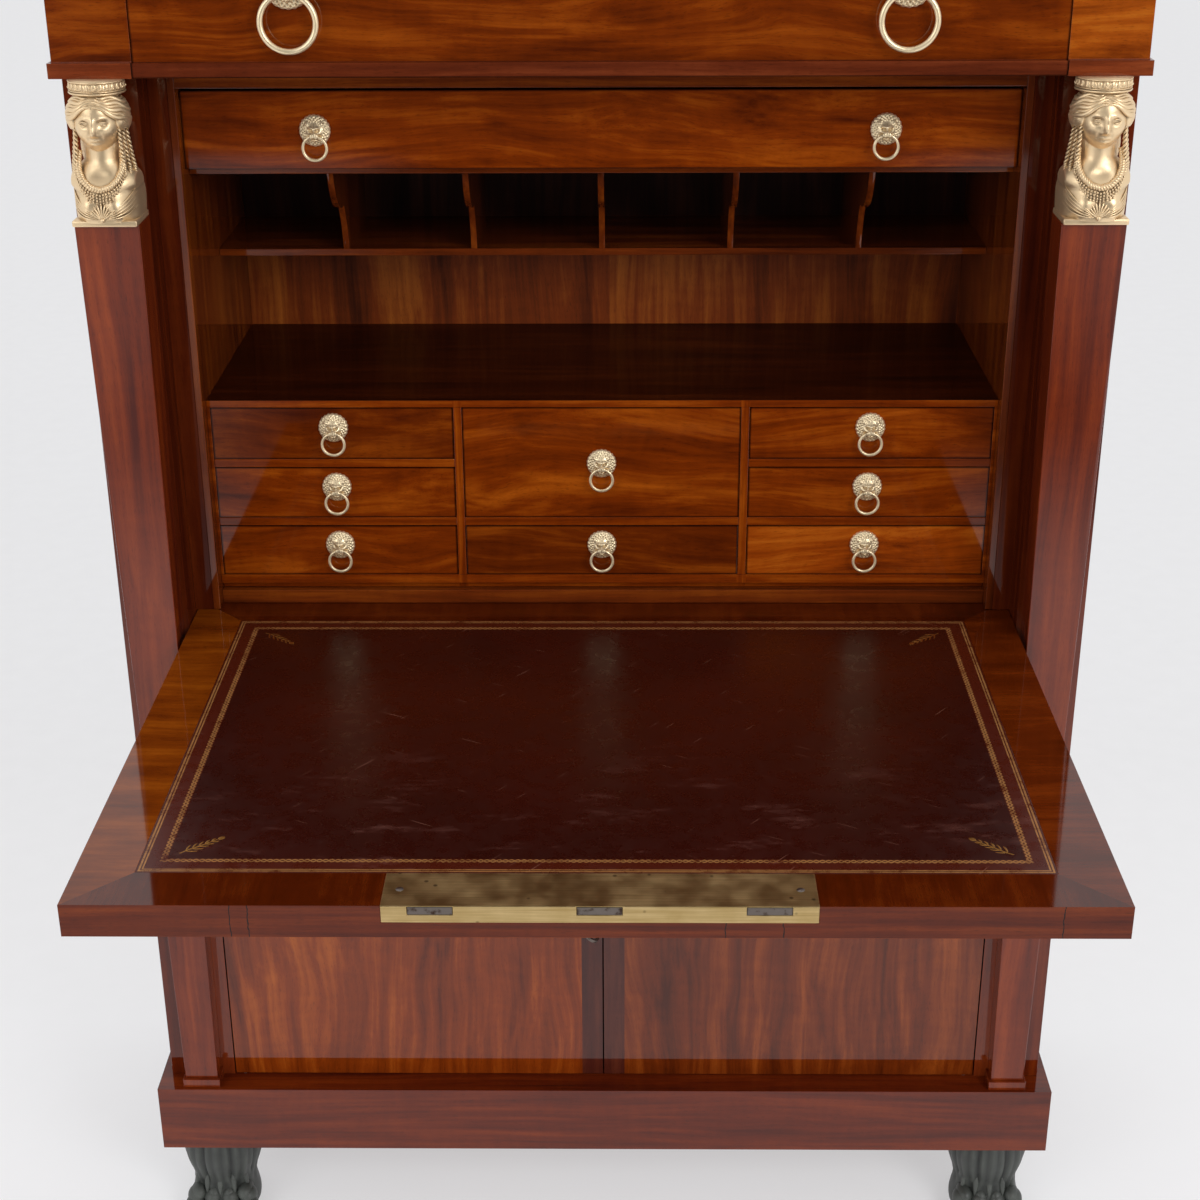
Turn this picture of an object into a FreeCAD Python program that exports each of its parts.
import FreeCAD, Part
import math
import os

# Drop front secretary in the Empire manner: carcass on a plinth and paw feet, herm pilasters,
# a frieze drawer, a hinged writing leaf over a fitted interior, and a two-door cupboard below.
# Millimetres, +Z up, +X to the right of a person who stands in front, +Y to the back.
# The working frame has the front of the carcass stiles at Y = 0. The finished solids are moved
# along Y so that the open secretary's box is centred on the origin.

V = FreeCAD.Vector
Z_AXIS = V(0, 0, 1)
Y_AXIS = V(0, 1, 0)
X_AXIS = V(1, 0, 0)

# Carcass
carcass_width = 972.0
carcass_depth = 358.0
side_thickness = 18.0
back_thickness = 12.0
back_inset = 6.0

# Feet and plinth
foot_height = 103.0
foot_width = 82.0
foot_ankle_width = 58.0
foot_ankle_height = 58.0
toe_count = 4
toe_radius = 11.5
toe_reach = 42.0
rear_foot_width = 70.0
rear_foot_taper = 8.0
foot_inset = 17.0
foot_setback = 4.0
plinth_height = 80.0
plinth_overhang = 11.0
plinth_projection = 30.0
plinth_board = 22.0
plinth_floor_board = 18.0

# Heights of the writing leaf and the frieze
writing_height = 735.0
opening_height = 546.5
frieze_height = 143.5
frieze_projection = 26.0
frieze_overhang = 1.0
frieze_block_width = 72.0
frieze_moulding_height = 13.5
frieze_moulding_projection = 6.0
frieze_moulding_overhang = 3.0
frieze_board = 12.0
marble_thickness = 22.0
marble_overhang = 6.0

# Writing leaf, turning on side pins near its lower edge
leaf_margin = 68.5
leaf_thickness = 28.6
leaf_setback = 12.1
leaf_tail = 37.0
leaf_top_gap = 1.8
leaf_side_gap = 1.0
leaf_stop_gap = 1.3
leaf_pin_radius = 5.0
leaf_pin_depth = 22.0
banding_width = 49.5
leather_thickness = 1.2

# Lock let into the front edge of the leaf
lock_width = 341.0
lock_depth = 49.5
lock_height = 15.0
lock_offset = 4.0
bolt_width = 35.0
bolt_height = 6.6
bolt_length = 28.0
bolt_drop = 4.5
bolt_pitch = 132.0
bolt_travel = 9.0
lock_keyhole_radius = 5.5

# Fitted interior
interior_lap = 23.5
lining_thickness = 7.0
stop_thickness = 18.0
floor_thickness = 14.4
floor_lap = 4.4
interior_top_thickness = 20.5
front_recess = 18.0
long_drawer_height = 73.0
long_drawer_top_gap = 5.0
dust_board = 7.0
dust_board_setback = 16.0
pigeonhole_height = 100.0
pigeonhole_setback = 130.0
pigeonhole_shelf_thickness = 7.0
divider_count = 5
divider_thickness = 6.0
divider_top_setback = 38.0
divider_nose = 13.0
divider_cusp_setback = 25.0

# Nest of small drawers
case_groove = 7.5
case_groove_setback = 9.0
case_bottom = 9.5
case_side = 3.2
case_top = 7.6
case_rail = 8.6
case_row_height = 54.3
case_upright = 8.5
centre_drawer_width = 279.0
row_count = 3

# Drawer boards
front_thickness = 12.0
drawer_side = 8.0
drawer_bottom = 5.0
drawer_back_gap = 14.0
drawer_back_drop = 6.0

# Ring pulls: lion masks with a ring through the mouth
small_mask_radius = 15.0
small_ring_radius = 11.2
small_ring_wire = 1.45
large_mask_radius = 21.5
large_ring_radius = 24.6
large_ring_wire = 2.65
mask_lobes = 14
long_pull_inset = 217.5
side_pull_offset = 1.0
side_pull_rise = 6.5
frieze_pull_inset = 214.0
frieze_pull_height = 79.5

# Pilasters and busts
pilaster_inset = 38.0
pilaster_base_width = 41.5
pilaster_base_height = 10.0
pilaster_base_projection = 26.0
shaft_foot_width = 36.0
shaft_foot_projection = 22.0
shaft_head_width = 59.4
shaft_head_projection = 44.0
bust_height = 128.0
bust_base_height = 6.0
bust_axis_forward = 27.0
bust_neck_radius = 14.2
bust_head_radius = 20.5
bust_head_height = 50.0
bust_head_forward = 37.0
wreath_radius = 25.6
wreath_height = 14.0
tress_radius = 4.6

# Cupboard
door_thickness = 22.0
door_lap = 3.5
door_pivot_inset = 9.5
door_pivot_depth = 3.0
door_pin_radius = 2.2
door_pin_length = 9.0
cupboard_rail_height = 20.0
cupboard_board = 16.0
shelf_share = 0.5
shelf_setback = 8.0

# Cupboard lock and its key in the left door
key_height = 381.0
key_from_edge = 11.5
key_shank_radius = 2.6
key_shank_out = 10.0
key_bow_length = 25.0
key_bow_width = 19.0
key_bow_wire = 3.2
key_rest_angle = 35.0
key_bit_length = 6.0
key_bit_drop = 8.0
door_lock_width = 58.0
door_lock_height = 66.0
door_lock_depth = 14.0
door_bolt_height = 9.0
door_bolt_thickness = 5.0
door_bolt_length = 38.0
door_bolt_rise = 15.0
door_bolt_throw = 8.0

# Clearances
pin_clearance = 0.08
drawer_gap = 0.6
drawer_slack = 0.5
frieze_gap = 0.7
door_gap = 1.5
door_meeting_gap = 1.5
bolt_clearance = 0.3
strike_clearance = 1.0
key_clearance = 0.3
ring_clearance = 0.15

# Levels and planes that follow from the sizes above
carcass_half = carcass_width / 2
inside_half = carcass_half - side_thickness
back_y = carcass_depth - back_inset - back_thickness
plinth_top = foot_height + plinth_height
frieze_bottom = writing_height + opening_height
frieze_top = frieze_bottom + frieze_height
frieze_half = carcass_half + frieze_overhang
block_inner = frieze_half - frieze_block_width
leaf_half = carcass_half - leaf_margin
jamb_half = leaf_half + leaf_side_gap
pivot_y = leaf_setback + leaf_thickness / 2
pivot_z = writing_height - leaf_thickness / 2
leaf_reach = frieze_bottom - leaf_top_gap - pivot_z
leaf_front = pivot_y - leaf_reach
leaf_back = pivot_y + leaf_tail
tail_sweep = math.hypot(leaf_tail, leaf_thickness / 2)
stop_y = leaf_setback + leaf_thickness + leaf_stop_gap
inner_half = leaf_half - interior_lap
lining_half = inner_half + lining_thickness
drawer_front_y = stop_y + front_recess
floor_bottom = writing_height + drawer_slack
floor_top = floor_bottom + floor_thickness
floor_front = leaf_back - floor_lap
interior_ceiling = frieze_bottom - interior_top_thickness
long_drawer_top = interior_ceiling - long_drawer_top_gap
long_drawer_bottom = long_drawer_top - long_drawer_height
dust_top = long_drawer_bottom - drawer_slack
dust_bottom = dust_top - dust_board
shelf_top = dust_bottom - pigeonhole_height
shelf_front = drawer_front_y + pigeonhole_setback
case_floor = floor_top + case_groove
rows_bottom = case_floor + case_bottom
row_pitch = case_row_height + case_rail
rows_top = rows_bottom + row_count * row_pitch - case_rail
upright_inner = centre_drawer_width / 2
upright_outer = upright_inner + case_upright
column_outer = inner_half - case_side
cupboard_top = pivot_z - tail_sweep - door_gap
door_opening = jamb_half - door_lap
door_outer = door_opening - door_gap
door_inner = door_meeting_gap / 2
door_bottom = plinth_top + door_gap
door_top = cupboard_top - cupboard_rail_height - door_gap
door_pivot_x = door_outer - door_pivot_inset
bust_bottom = frieze_bottom - bust_height
bust_half = shaft_head_width / 2
pilaster_x = carcass_half - pilaster_inset
plinth_half = carcass_half + plinth_overhang
centring = -(leaf_front + carcass_depth) / 2


def box(x_range, y_range, z_range):
    size = [span[1] - span[0] for span in (x_range, y_range, z_range)]
    return Part.makeBox(*size, V(x_range[0], y_range[0], z_range[0]))


def centred(half, y_range, z_range):
    return box((-half, half), y_range, z_range)


def pair(solid):
    return [solid, solid.mirror(V(0, 0, 0), X_AXIS)]


def cylinder_x(radius, x_range, y, z):
    return Part.makeCylinder(radius, x_range[1] - x_range[0], V(x_range[0], y, z), X_AXIS)


def cylinder_y(radius, x, y_range, z):
    return Part.makeCylinder(radius, y_range[1] - y_range[0], V(x, y_range[0], z), Y_AXIS)


def cylinder_z(radius, x, y, z_range):
    return Part.makeCylinder(radius, z_range[1] - z_range[0], V(x, y, z_range[0]), Z_AXIS)


def rectangle(x_range, y_range, z):
    corners = [V(x_range[0], y_range[0], z), V(x_range[1], y_range[0], z),
               V(x_range[1], y_range[1], z), V(x_range[0], y_range[1], z)]
    return Part.makePolygon(corners + corners[:1])


def capsule(radius, start, end):
    """A rod with a rounded far end."""
    run = end - start
    return [Part.makeCylinder(radius, run.Length, start, run), Part.makeSphere(radius, end)]


def ellipsoid(radius, half_height, centre):
    """A solid of revolution about a vertical axis."""
    across = V(radius, 0, 0)
    up = V(0, 0, half_height)
    curve = Part.Ellipse(centre + up, centre + across, centre)
    arc = Part.ArcOfEllipse(curve, 0, math.pi).toShape()
    chord = Part.makeLine(centre - up, centre + up)
    return Part.Face(Part.Wire([arc, chord])).revolve(centre, Z_AXIS, 360)


def turned(profile, y):
    """A solid turned on a vertical axis through a smooth profile of (radius, height) points."""
    points = [V(radius, y, height) for radius, height in profile]
    curve = Part.BSplineCurve()
    curve.interpolate(points)
    foot = V(0, y, points[0].z)
    head = V(0, y, points[-1].z)
    edges = [curve.toShape(), Part.makeLine(points[-1], head),
             Part.makeLine(head, foot), Part.makeLine(foot, points[0])]
    return Part.Face(Part.Wire(edges)).revolve(foot, Z_AXIS, 360)


def fused(first, *others):
    return first.multiFuse(list(others)).removeSplitter().Solids[0]


def carcass_sides():
    board = box((inside_half, carcass_half), (0, carcass_depth), (plinth_top, frieze_top))
    return pair(board)


def back_panels():
    y_range = (back_y, back_y + back_thickness)
    lower = centred(inside_half, y_range, (plinth_top, writing_height))
    upper = centred(inside_half, y_range, (writing_height, frieze_top))
    return [lower, upper]


def plinth():
    front_y = -plinth_projection
    board_back = front_y + plinth_board
    rear_y = carcass_depth - plinth_board
    inner = plinth_half - plinth_board
    heights = (foot_height, plinth_top)
    front = centred(plinth_half, (front_y, board_back), heights)
    side = box((inner, plinth_half), (board_back, carcass_depth), heights)
    rear = centred(inner, (rear_y, carcass_depth), heights)
    under = plinth_top - plinth_floor_board
    floor = centred(inner, (board_back, rear_y), (under, plinth_top))
    for sign in (-1, 1):
        floor = floor.cut(cylinder_z(door_pin_radius + pin_clearance, sign * door_pivot_x, door_pivot_depth,
                                     (plinth_top - door_pin_length, plinth_top)))
    block_x = (inner - foot_width, inner)
    front_block = box(block_x, (board_back, board_back + foot_width), (foot_height, under))
    rear_block = box(block_x, (rear_y - foot_width, rear_y), (foot_height, under))
    return [front, rear, floor] + pair(side) + pair(front_block) + pair(rear_block)


def paw_foot():
    """Lion's paw: a swelling leg, a narrow ankle and a row of arched toes that reach forward."""
    radius = foot_width / 2
    ankle = foot_ankle_width / 2
    heel = radius - toe_radius / 2
    swell = (foot_height + foot_ankle_height) / 2
    leg = turned([(heel, -toe_radius), (heel, foot_ankle_height / 4), (ankle, foot_ankle_height),
                  (radius * 0.97, swell), (radius, foot_height)], 0)
    pitch = 2 * (radius - toe_radius) / (toe_count - 1)
    toes = []
    for place in range(toe_count):
        offset = (place - (toe_count - 1) / 2) * pitch
        reach = toe_reach - abs(offset) * 0.2
        root = V(offset * 0.7, -ankle * 0.35, foot_ankle_height - toe_radius)
        knuckle = V(offset, -reach * 0.72, foot_ankle_height * 0.58)
        tip = V(offset, -reach, toe_radius * 0.85)
        toes += capsule(toe_radius, root, knuckle) + capsule(toe_radius, knuckle, tip)
    below = centred(foot_width, (-2 * foot_width, foot_width), (-2 * toe_radius, 0))
    foot = fused(leg, *toes).cut(below).Solids[0]
    foot.translate(V(plinth_half - foot_inset - radius, radius - plinth_projection + foot_setback, 0))
    return foot


def rear_feet():
    far = plinth_half - foot_inset
    near = far - rear_foot_width
    rear = carcass_depth - foot_setback
    top = rectangle((near, far), (rear - rear_foot_width, rear), foot_height)
    base = rectangle((near + rear_foot_taper, far - rear_foot_taper),
                     (rear - rear_foot_width + rear_foot_taper, rear - rear_foot_taper), 0)
    return pair(Part.makeLoft([base, top], True, True))


def jambs():
    """Front posts beside the leaf and the doors, with the stop strips that the leaf closes against."""
    post_y = (0, stop_y)
    upper = box((jamb_half, inside_half), post_y, (cupboard_top, frieze_top))
    pin_span = (jamb_half, jamb_half + leaf_pin_depth)
    pin_hole = cylinder_x(leaf_pin_radius + pin_clearance, pin_span, pivot_y, pivot_z)
    lower = box((door_opening, inside_half), post_y, (plinth_top, cupboard_top))
    stop = box((lining_half, inside_half), (stop_y, stop_y + stop_thickness), (floor_bottom, frieze_bottom))
    return pair(upper.cut(pin_hole)) + pair(lower) + pair(stop)


def pilasters():
    """Herm shafts that widen and come forward towards the busts, each on a small base."""
    base_top = plinth_top + pilaster_base_height

    def span(width):
        return (pilaster_x - width / 2, pilaster_x + width / 2)

    base = box(span(pilaster_base_width), (-pilaster_base_projection, 0), (plinth_top, base_top))
    foot = rectangle(span(shaft_foot_width), (-shaft_foot_projection, 0), base_top)
    head = rectangle(span(shaft_head_width), (-shaft_head_projection, 0), bust_bottom)
    shaft = Part.makeLoft([foot, head], True, True)
    return pair(base) + pair(shaft)


def bust():
    """Caryatid bust with a flat back: base, chest, neck, head, hair, wreath and hanging tresses.

    Nothing is wider than the head of the shaft, so the leaf can close between the two busts.
    """
    half = bust_half
    neck = bust_neck_radius
    head_y = -bust_head_forward
    chin = bust_height - wreath_height - 0.95 * bust_head_height
    base = centred(half, (-shaft_head_projection - bust_base_height / 2, 0), (0, bust_base_height))
    chest_profile = [(0.93 * half, bust_base_height / 2), (half, 0.17 * bust_height),
                     (0.88 * half, 0.29 * bust_height), (1.2 * neck, 0.4 * bust_height),
                     (neck, 0.47 * bust_height), (neck, chin + neck)]
    chest = turned(chest_profile, -bust_axis_forward)
    head = ellipsoid(bust_head_radius, bust_head_height / 2, V(0, head_y, chin + bust_head_height / 2))
    hair_z = bust_height - wreath_height - 0.4 * bust_head_height
    hair = ellipsoid(0.99 * half, half, V(0, -0.7 * half, hair_z))
    hair = hair.common(centred(half, (head_y - neck / 3, 0), (chin + neck, bust_height - wreath_height / 2)))
    wreath = cylinder_z(wreath_radius, 0, -bust_axis_forward, (bust_height - wreath_height, bust_height))
    tresses = []
    for side in (-1, 1):
        top = V(side * bust_head_radius, head_y + tress_radius, hair_z)
        tip = V(side * (half - 2 * tress_radius), head_y, 0.36 * bust_height)
        tresses += capsule(tress_radius, top, tip)
    solid = fused(base, chest, head, hair, wreath, *tresses)
    in_front = centred(bust_height, (-bust_height, 0), (0, bust_height))
    solid = solid.common(in_front).Solids[0]
    solid.translate(V(pilaster_x, 0, bust_bottom))
    return solid


def frieze_blocks():
    moulding_top = frieze_bottom + frieze_moulding_height
    block = box((block_inner, frieze_half), (-frieze_projection, 0), (frieze_bottom, frieze_top))
    moulding = box((block_inner, frieze_half + frieze_moulding_overhang),
                   (-frieze_projection - frieze_moulding_projection, 0), (frieze_bottom, moulding_top))
    return pair(fused(block, moulding))


def frieze_boards():
    """Boards under and over the frieze drawer. The front one below has mortises for the leaf's bolts."""
    rail_y = (0, stop_y)
    deep_y = (stop_y, back_y)
    below = (frieze_bottom, frieze_bottom + frieze_board)
    above = (frieze_top - frieze_board, frieze_top)
    lower_rail = centred(jamb_half, rail_y, below)
    bolt_y = stop_y - leaf_stop_gap - bolt_drop
    half_slot = bolt_height / 2 + 2 * bolt_clearance
    reach = bolt_width / 2 + 2 * bolt_clearance
    for x in bolt_places():
        mortise = box((x - reach, x + reach), (bolt_y - half_slot, bolt_y + half_slot),
                      (frieze_bottom, frieze_bottom + bolt_travel))
        lower_rail = lower_rail.cut(mortise)
    return [lower_rail, centred(inside_half, deep_y, below),
            centred(jamb_half, rail_y, above), centred(inside_half, deep_y, above)]


def marble_top():
    front = -frieze_projection - frieze_moulding_projection - marble_overhang
    half = frieze_half + marble_overhang
    slab = centred(half, (front, carcass_depth), (frieze_top, frieze_top + marble_thickness))
    edges = [edge for edge in slab.Edges if edge.BoundBox.ZMin > frieze_top + marble_thickness / 2]
    return slab.makeFillet(marble_thickness / 6, edges)


def interior_linings():
    lining = box((inner_half, lining_half), (stop_y, back_y), (floor_bottom, frieze_bottom))
    ceiling = centred(inner_half, (stop_y, back_y), (interior_ceiling, frieze_bottom))
    dust = centred(inner_half, (drawer_front_y + dust_board_setback, back_y), (dust_bottom, dust_top))
    return pair(lining) + [ceiling, dust]


def desk_floor():
    floor = centred(inner_half, (floor_front, back_y), (floor_bottom, floor_top))
    fascia_y = pivot_y + tail_sweep + door_gap
    fascia = centred(inside_half, (fascia_y, fascia_y + stop_thickness), (cupboard_top, floor_bottom))
    return [floor, fascia]


def pigeonhole_shelf():
    return centred(inner_half, (shelf_front, back_y), (shelf_top - pigeonhole_shelf_thickness, shelf_top))


def pigeonhole_dividers():
    """Thin partitions whose front edge is an ogee: a round nose above and a hollow down to the shelf."""
    top_y = drawer_front_y + divider_top_setback
    middle = (shelf_top + dust_bottom) / 2
    foot = V(0, shelf_front, shelf_top)
    cusp = V(0, shelf_front - divider_cusp_setback, middle)
    head = V(0, top_y, dust_bottom)
    rear_low = V(0, back_y, shelf_top)
    rear_high = V(0, back_y, dust_bottom)
    lower = (foot + cusp) * 0.5 + V(0, divider_nose / 3, 0)
    upper = (cusp + head) * 0.5 - V(0, divider_nose, 0.7 * divider_nose)
    edges = [Part.Arc(foot, lower, cusp).toShape(), Part.Arc(cusp, upper, head).toShape(),
             Part.makeLine(head, rear_high), Part.makeLine(rear_high, rear_low),
             Part.makeLine(rear_low, foot)]
    panel = Part.Face(Part.Wire(edges)).extrude(V(divider_thickness, 0, 0))
    pitch = 2 * inner_half / (divider_count + 1)
    dividers = []
    for place in range(divider_count):
        divider = panel.copy()
        divider.translate(V(pitch * (place + 1) - inner_half - divider_thickness / 2, 0, 0))
        dividers.append(divider)
    return dividers


def row_heights(first_row, last_row):
    """Opening of the small drawers from one row to another, counted from the bottom."""
    return (rows_bottom + first_row * row_pitch, rows_bottom + last_row * row_pitch + case_row_height)


def drawer_case():
    depth = (drawer_front_y, back_y)
    heights = (rows_bottom, rows_top)
    boards = [centred(inner_half, (drawer_front_y + case_groove_setback, back_y), (floor_top, case_floor)),
              centred(inner_half, depth, (case_floor, rows_bottom)),
              centred(inner_half, depth, (rows_top, rows_top + case_top))]
    boards += pair(box((column_outer, inner_half), depth, heights))
    boards += pair(box((upright_inner, upright_outer), depth, heights))
    for row in range(1, row_count):
        rail = (row_heights(0, row - 1)[1], row_heights(row, row)[0])
        boards += pair(box((upright_outer, column_outer), depth, rail))
        if row == 1:
            boards.append(centred(upright_inner, depth, rail))
    return boards


def drawer(x_range, z_range, front_y, front_board, back_end, box_z=None):
    """Front, sides, back and bottom as separate boards."""
    box_z = box_z or (z_range[0], z_range[1] - drawer_back_drop)
    inside_x = (x_range[0] + drawer_side, x_range[1] - drawer_side)
    behind = front_y + front_board
    front = box(x_range, (front_y, behind), z_range)
    left = box((x_range[0], inside_x[0]), (behind, back_end), box_z)
    right = box((inside_x[1], x_range[1]), (behind, back_end), box_z)
    rear = box(inside_x, (back_end - drawer_side, back_end), box_z)
    bottom = box(inside_x, (behind, back_end - drawer_side), (box_z[0], box_z[0] + drawer_bottom))
    return [front, left, right, rear, bottom]


def small_drawer(column, first_row, last_row):
    left, right = column
    low, high = row_heights(first_row, last_row)
    return drawer((left + drawer_gap, right - drawer_gap), (low + drawer_slack, high - drawer_slack),
                  drawer_front_y, front_thickness, back_y - drawer_back_gap)


def long_drawer():
    side = inner_half - drawer_gap
    return drawer((-side, side), (long_drawer_bottom, long_drawer_top),
                  drawer_front_y, front_thickness, back_y - drawer_back_gap)


def frieze_drawer():
    """An overlaid front with its own strip of moulding, on a box that runs between the frieze boards."""
    half = block_inner - frieze_gap
    low = frieze_bottom + drawer_slack
    high = frieze_top - drawer_slack
    front_board = frieze_projection - drawer_slack
    box_z = (frieze_bottom + frieze_board + drawer_slack, frieze_top - frieze_board - drawer_back_drop)
    boards = drawer((-half, half), (low, high), -frieze_projection, front_board,
                    back_y - drawer_back_gap, box_z)
    moulding = centred(half, (-frieze_projection - frieze_moulding_projection, -frieze_projection),
                       (low, frieze_bottom + frieze_moulding_height))
    return boards + [moulding]


def mouth(radius):
    """Depth and height of the ring's axis in front of and below the middle of a mask."""
    return V(0, -0.535 * radius, -0.33 * radius)


def ring_sag(radius, ring_radius):
    """How far the ring drops inside the width of the muzzle."""
    half_muzzle = 0.33 * radius
    return ring_radius - math.sqrt(ring_radius ** 2 - half_muzzle ** 2)


def lion_mask(radius, ring_radius, wire):
    """A scalloped mane, a domed face with ears, and a muzzle bored across for the ring."""
    forward = V(0, -1, 0)
    step = 2 * math.pi / mask_lobes

    def rim(angle, share):
        return V(share * radius * math.sin(angle), 0, share * radius * math.cos(angle))

    lobes = []
    for place in range(mask_lobes):
        start = place * step
        lobes.append(Part.Arc(rim(start, 0.93), rim(start + step / 2, 1), rim(start + step, 0.93)).toShape())
    plate_depth = 0.15 * radius
    plate = Part.Face(Part.Wire(lobes)).extrude(forward * plate_depth)
    mane = Part.makeCone(0.9 * radius, 0.62 * radius, 0.14 * radius, forward * plate_depth, forward)
    cap_base = 0.64 * radius
    cap_height = 0.26 * radius
    ball = (cap_base ** 2 + cap_height ** 2) / (2 * cap_height)
    face = Part.makeSphere(ball, forward * (0.29 * radius + cap_height - ball), forward,
                           math.degrees(math.asin(1 - cap_height / ball)), 90, 360)
    muzzle = Part.makeCylinder(0.33 * radius, 0.6 * radius, V(0, -0.2 * radius, -0.3 * radius), forward)
    tip = [edge for edge in muzzle.Edges if edge.BoundBox.YMax < -0.7 * radius]
    muzzle = muzzle.makeFillet(0.1 * radius, tip)
    ears = [Part.makeSphere(0.15 * radius, V(side * 0.5 * radius, -0.3 * radius, 0.48 * radius))
            for side in (-1, 1)]
    axis = mouth(radius)
    bore = wire + ring_sag(radius, ring_radius) / 2 + ring_clearance
    hole = cylinder_x(bore, (-radius, radius), axis.y, axis.z)
    return fused(plate, mane, face, muzzle, *ears).cut(hole).Solids[0]


def pull_ring(radius, ring_radius, wire):
    axis = mouth(radius)
    centre = axis + V(0, 0, ring_sag(radius, ring_radius) / 2 - ring_radius)
    return Part.makeTorus(ring_radius, wire, centre, Y_AXIS)


def placed(solid, x, y, z):
    moved = solid.copy()
    moved.translate(V(x, y, z))
    return moved


def bolt_places():
    return [lock_offset + place * bolt_pitch for place in (-1, 0, 1)]


def lock_box():
    return box((lock_offset - lock_width / 2, lock_offset + lock_width / 2),
               (leaf_front, leaf_front + lock_depth), (writing_height - lock_height, writing_height))


def keyhole_liner(radius):
    return cylinder_z(radius, lock_offset, leaf_front + lock_depth / 2,
                      (writing_height - leaf_thickness, writing_height - lock_height))


def bolt_box(x, slack):
    half = bolt_width / 2 + slack
    middle = writing_height - bolt_drop
    return box((x - half, x + half), (leaf_front, leaf_front + bolt_length + slack),
               (middle - bolt_height / 2 - slack, middle + bolt_height / 2 + slack))


def leather_box():
    return centred(leaf_half - banding_width, (leaf_front + banding_width, leaf_back - banding_width),
                   (writing_height - leather_thickness, writing_height))


def leaf_pins(clearance):
    reach = (leaf_half - leaf_pin_depth - clearance, jamb_half + leaf_pin_depth)
    return cylinder_x(leaf_pin_radius + clearance, reach, pivot_y, pivot_z)


def fall_front():
    board = centred(leaf_half, (leaf_front, leaf_back), (writing_height - leaf_thickness, writing_height))
    board = board.cut(lock_box()).cut(leather_box()).cut(keyhole_liner(lock_keyhole_radius))
    for hole in pair(leaf_pins(pin_clearance)):
        board = board.cut(hole)
    return board.Solids[0]


def lock_case():
    case = lock_box()
    for x in bolt_places():
        case = case.cut(bolt_box(x, bolt_clearance))
    liner = keyhole_liner(lock_keyhole_radius).cut(keyhole_liner(lock_keyhole_radius / 2))
    return [case.Solids[0], liner]


def door_pins(clearance, door_end):
    """Pins of the right door, at its top and bottom. They reach equally into the door and the carcass."""
    reach = door_pin_length + door_gap
    low = (plinth_top - door_pin_length, plinth_top + reach)
    high = (door_top - door_pin_length, door_top + reach)
    if door_end:
        low = (door_bottom, low[1] + clearance)
        high = (high[0] - clearance, door_top)
    return [cylinder_z(door_pin_radius + clearance, door_pivot_x, door_pivot_depth, span)
            for span in (low, high)]


def pivot_pins():
    pins = pair(leaf_pins(0))
    for pin in door_pins(0, False):
        pins += pair(pin)
    return pins


def plain_door():
    door = box((door_inner, door_outer), (0, door_thickness), (door_bottom, door_top))
    for hole in door_pins(pin_clearance, True):
        door = door.cut(hole)
    return door


def door_lock_box():
    half_height = door_lock_height / 2
    return box((-door_inner - door_lock_width, -door_inner),
               (door_thickness - door_lock_depth, door_thickness),
               (key_height - half_height, key_height + half_height))


def door_bolt_box(slack, length, start):
    middle_y = door_thickness - door_lock_depth / 2
    middle_z = key_height + door_bolt_rise
    half_y = door_bolt_thickness / 2 + slack
    half_z = door_bolt_height / 2 + slack
    return box((start, start + length), (middle_y - half_y, middle_y + half_y),
               (middle_z - half_z, middle_z + half_z))


def keyhole():
    key_x = -door_inner - key_from_edge
    round_part = cylinder_y(key_shank_radius + key_clearance, key_x, (0, door_thickness), key_height)
    half_slot = 0.5 * key_shank_radius
    slot = box((key_x - half_slot, key_x + half_slot), (0, door_thickness),
               (key_height - key_shank_radius - key_bit_drop, key_height))
    return fused(round_part, slot)


def door_left():
    door = plain_door().mirror(V(0, 0, 0), X_AXIS)
    return door.cut(door_lock_box()).cut(keyhole()).Solids[0]


def door_right():
    mortise = door_bolt_box(strike_clearance, door_bolt_throw + strike_clearance, door_inner)
    return plain_door().cut(mortise).Solids[0]


def door_lock():
    """Cut lock let into the back of the left door: a slot for its bolt and room for the key's bit."""
    length = door_bolt_length + bolt_clearance
    case = door_lock_box().cut(door_bolt_box(bolt_clearance, length, -door_inner - length))
    key_x = -door_inner - key_from_edge
    front = door_thickness - door_lock_depth
    room = cylinder_y(key_shank_radius + key_bit_drop - 1, key_x, (front, door_thickness - 2), key_height)
    return case.cut(room).cut(keyhole()).Solids[0]


def door_bolt():
    return door_bolt_box(0, door_bolt_length, -door_inner - door_bolt_length)


def key():
    """Key with an oval bow, its bit inside the lock. It stands turned a little, as it was left."""
    bow_y = -key_shank_out - key_bow_length / 2 + key_bow_wire
    outer = Part.Ellipse(V(0, bow_y - key_bow_length / 2, 0), V(key_bow_width / 2, bow_y, 0), V(0, bow_y, 0))
    inner = Part.Ellipse(V(0, bow_y - key_bow_length / 2 + key_bow_wire, 0),
                         V(key_bow_width / 2 - key_bow_wire, bow_y, 0), V(0, bow_y, 0))
    ring = [Part.Wire(curve.toShape()) for curve in (outer, inner)]
    bow = Part.Face(ring[0]).cut(Part.Face(ring[1])).extrude(V(0, 0, key_bow_wire))
    bow.translate(V(0, 0, -key_bow_wire / 2))
    bit_end = door_thickness - 3
    shank = cylinder_y(key_shank_radius, 0, (-key_shank_out, bit_end), 0)
    bit_half = 0.35 * key_shank_radius
    bit = box((-key_shank_radius - key_bit_drop + 2, 0), (bit_end - key_bit_length, bit_end),
              (-bit_half, bit_half))
    solid = fused(shank, bow, bit)
    solid.rotate(V(0, 0, 0), Y_AXIS, key_rest_angle)
    solid.translate(V(-door_inner - key_from_edge, 0, key_height))
    return solid


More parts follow.
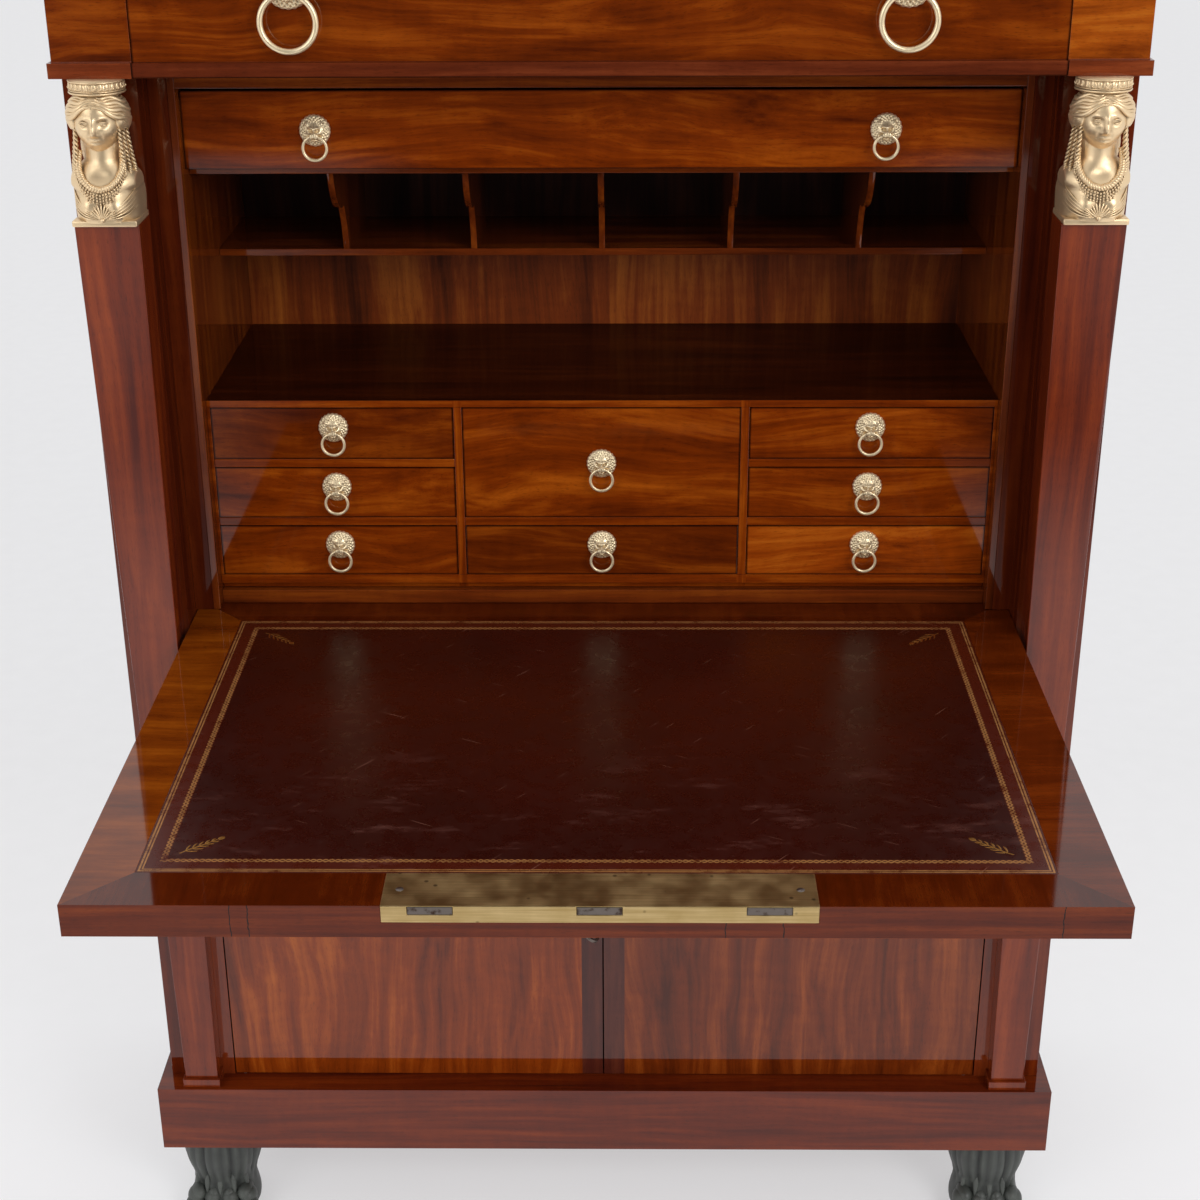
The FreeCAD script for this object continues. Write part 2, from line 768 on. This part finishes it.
def cupboard_boards():
    rail = centred(door_opening, (0, stop_y), (cupboard_top - cupboard_rail_height, cupboard_top))
    for sign in (-1, 1):
        rail = rail.cut(cylinder_z(door_pin_radius + pin_clearance, sign * door_pivot_x, door_pivot_depth,
                                   (door_top, door_top + door_pin_length + door_gap)))
    depth = (stop_y, back_y)
    top = centred(inside_half, depth, (cupboard_top - cupboard_board, cupboard_top))
    shelf_z = plinth_top + shelf_share * (cupboard_top - plinth_top)
    shelf = centred(inside_half, (stop_y + shelf_setback, back_y), (shelf_z, shelf_z + cupboard_board))
    return [rail, top, shelf]


def drawer_nodes():
    """Each drawer with its masks and rings, which share the name of the drawer's place."""
    small_mask = lion_mask(small_mask_radius, small_ring_radius, small_ring_wire)
    small_ring = pull_ring(small_mask_radius, small_ring_radius, small_ring_wire)
    large_mask = lion_mask(large_mask_radius, large_ring_radius, large_ring_wire)
    large_ring = pull_ring(large_mask_radius, large_ring_radius, large_ring_wire)
    found = {"frieze_drawer": frieze_drawer(), "inner_long_drawer": long_drawer()}
    wide = [("frieze", large_mask, large_ring, carcass_half - frieze_pull_inset, -frieze_projection,
             frieze_bottom + frieze_pull_height),
            ("inner_long", small_mask, small_ring, carcass_half - long_pull_inset, drawer_front_y,
             (long_drawer_bottom + long_drawer_top) / 2)]
    for name, mask, ring, x, y, z in wide:
        found[name + "_masks"] = [placed(mask, -x, y, z), placed(mask, x, y, z)]
        found[name + "_ring_left"] = [placed(ring, -x, y, z)]
        found[name + "_ring_right"] = [placed(ring, x, y, z)]
    side_x = (upright_outer + column_outer) / 2 - side_pull_offset
    columns = {"left": ((-column_outer, -upright_outer), -side_x),
               "centre": ((-upright_inner, upright_inner), 0),
               "right": ((upright_outer, column_outer), side_x)}
    rows = {"bottom": 0, "middle": 1, "top": 2}
    for column, (span, x) in columns.items():
        for row, place in rows.items():
            if column == "centre" and row == "middle":
                continue
            first = 1 if column == "centre" and row == "top" else place
            low, high = row_heights(first, place)
            rise = side_pull_rise if first == place else 0
            z = (low + high) / 2 + rise
            label = column + "_" + row
            found["drawer_" + label] = small_drawer(span, first, place)
            found["mask_" + label] = [placed(small_mask, x, drawer_front_y, z)]
            found["ring_" + label] = [placed(small_ring, x, drawer_front_y, z)]
    return found


def all_nodes():
    nodes = {
        "marble_top": [marble_top()], "carcass_sides": carcass_sides(), "back_panels": back_panels(),
        "plinth": plinth(), "paw_feet": pair(paw_foot()), "rear_feet": rear_feet(), "jambs": jambs(),
        "pilasters": pilasters(), "busts": pair(bust()), "frieze_blocks": frieze_blocks(),
        "frieze_boards": frieze_boards(), "interior_linings": interior_linings(), "desk_floor": desk_floor(),
        "pigeonhole_shelf": [pigeonhole_shelf()], "pigeonhole_dividers": pigeonhole_dividers(),
        "drawer_case": drawer_case(), "cupboard_boards": cupboard_boards(), "pivot_pins": pivot_pins(),
        "fall_front": [fall_front()], "writing_leather": [leather_box()], "lock_case": lock_case(),
        "lock_bolts": [bolt_box(x, 0) for x in bolt_places()], "door_left": [door_left()],
        "door_right": [door_right()], "door_lock": [door_lock()], "door_bolt": [door_bolt()], "key": [key()],
    }
    nodes.update(drawer_nodes())
    return nodes


os.makedirs("parts", exist_ok=True)
for name, solids in all_nodes().items():
    shape = Part.makeCompound(solids) if len(solids) > 1 else solids[0].copy()
    shape.translate(V(0, centring, 0))
    shape.exportStep("parts/" + name + ".step")
